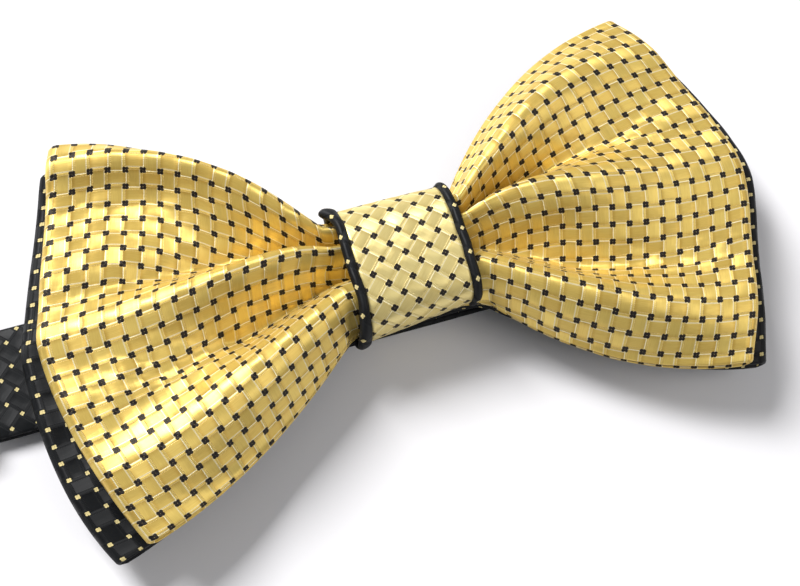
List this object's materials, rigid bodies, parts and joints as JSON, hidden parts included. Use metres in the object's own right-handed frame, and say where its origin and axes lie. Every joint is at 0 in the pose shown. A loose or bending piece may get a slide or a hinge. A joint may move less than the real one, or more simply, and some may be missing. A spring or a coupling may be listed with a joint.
{
  "type": "bow tie",
  "caption": "Pre-tied double-layer bow tie in patterned satin, with rolled-edge knot, folded adjustable neckband, hook, eye and slider.",
  "frame": {"origin": "on the surface that the tie lies on, under the middle of the knot, on the underside of the neckband's lower run", "axes": "+X along the bow to its right wing as seen from the front, +Y to the bow's top edge, +Z out of the front of the bow"},
  "size_m": [0.2441, 0.0686, 0.018],
  "materials": {
    "gold_satin": "woven satin, gold basket weave with black dots",
    "black_satin": "woven satin, black basket weave with pale gold dots",
    "interlining": "matte unbleached stiffening cloth",
    "thread": "polyester sewing thread",
    "nickel": "nickel-plated steel"
  },
  "bodies": {
    "knot": {"knot_band": "gold_satin", "knot_underband": "black_satin", "knot_interlining": "interlining", "knot_closing_stitches": "thread", "lashing_thread": "thread", "front_bow_waist": "gold_satin", "rear_bow_waist": "black_satin", "neckband_knot_run": "black_satin", "neckband_interfacing_knot": "interlining", "eye_bartack": "thread"},
    "rear_left": {"rear_bow_left": "black_satin", "rear_interlining_left": "interlining"},
    "rear_right": {"rear_bow_right": "black_satin", "rear_interlining_right": "interlining"},
    "front_left": {"front_bow_left": "gold_satin", "front_interlining_left": "interlining"},
    "front_right": {"front_bow_right": "gold_satin", "front_interlining_right": "interlining"},
    "lower_run": {"neckband_lower_run": "black_satin", "neckband_interfacing_lower": "interlining"},
    "hook_run": {"neckband_hook_run": "black_satin", "neckband_interfacing_hook": "interlining"},
    "slider": {"slider_frame": "nickel", "neckband_tail": "black_satin"},
    "hook": {"hook_plate": "nickel"},
    "eye": {"eye_plate": "nickel"}
  },
  "joints": [
    {"name": "front_left_bend", "type": "hinge", "parent": "knot", "child": "front_left", "pos_m": [-0.0118, 0, 0.0103], "axis": [0, 1, 0], "range_deg": [0, 18], "stiffness_Nm_per_rad": 0.02},
    {"name": "front_right_bend", "type": "hinge", "parent": "knot", "child": "front_right", "pos_m": [0.0118, 0, 0.0103], "axis": [0, -1, 0], "range_deg": [0, 18], "stiffness_Nm_per_rad": 0.02},
    {"name": "rear_left_bend", "type": "hinge", "parent": "knot", "child": "rear_left", "pos_m": [-0.0118, 0, 0.0103], "axis": [0, 1, 0], "range_deg": [0, 9], "stiffness_Nm_per_rad": 0.02},
    {"name": "rear_right_bend", "type": "hinge", "parent": "knot", "child": "rear_right", "pos_m": [0.0118, 0, 0.0103], "axis": [0, -1, 0], "range_deg": [0, 9], "stiffness_Nm_per_rad": 0.02},
    {"name": "right_fold", "type": "hinge", "parent": "knot", "child": "lower_run", "pos_m": [0.045, 0, 0.00145], "axis": [0, -1, 0], "range_deg": [0, 180]},
    {"name": "left_fold", "type": "hinge", "parent": "lower_run", "child": "hook_run", "pos_m": [-0.18, 0, 0.00375], "axis": [0, -1, 0], "range_deg": [0, 180]},
    {"name": "slider_slide", "type": "slide", "parent": "hook_run", "child": "slider", "axis": [-1, 0, 0], "range_m": [0, 0.042]},
    {"name": "hook_swing", "type": "hinge", "parent": "hook_run", "child": "hook", "pos_m": [-0.11, 0, 0.00455], "axis": [0, -1, 0], "range_deg": [0, 110]},
    {"name": "eye_swing", "type": "hinge", "parent": "knot", "child": "eye", "pos_m": [-0.084, 0, 0.00375], "axis": [0, 1, 0], "range_deg": [0, 110]}
  ],
  "couplings": [
    {"joint": "rear_left_bend", "follows": "front_left_bend", "ratio": 0.5},
    {"joint": "rear_right_bend", "follows": "front_right_bend", "ratio": 0.5}
  ]
}
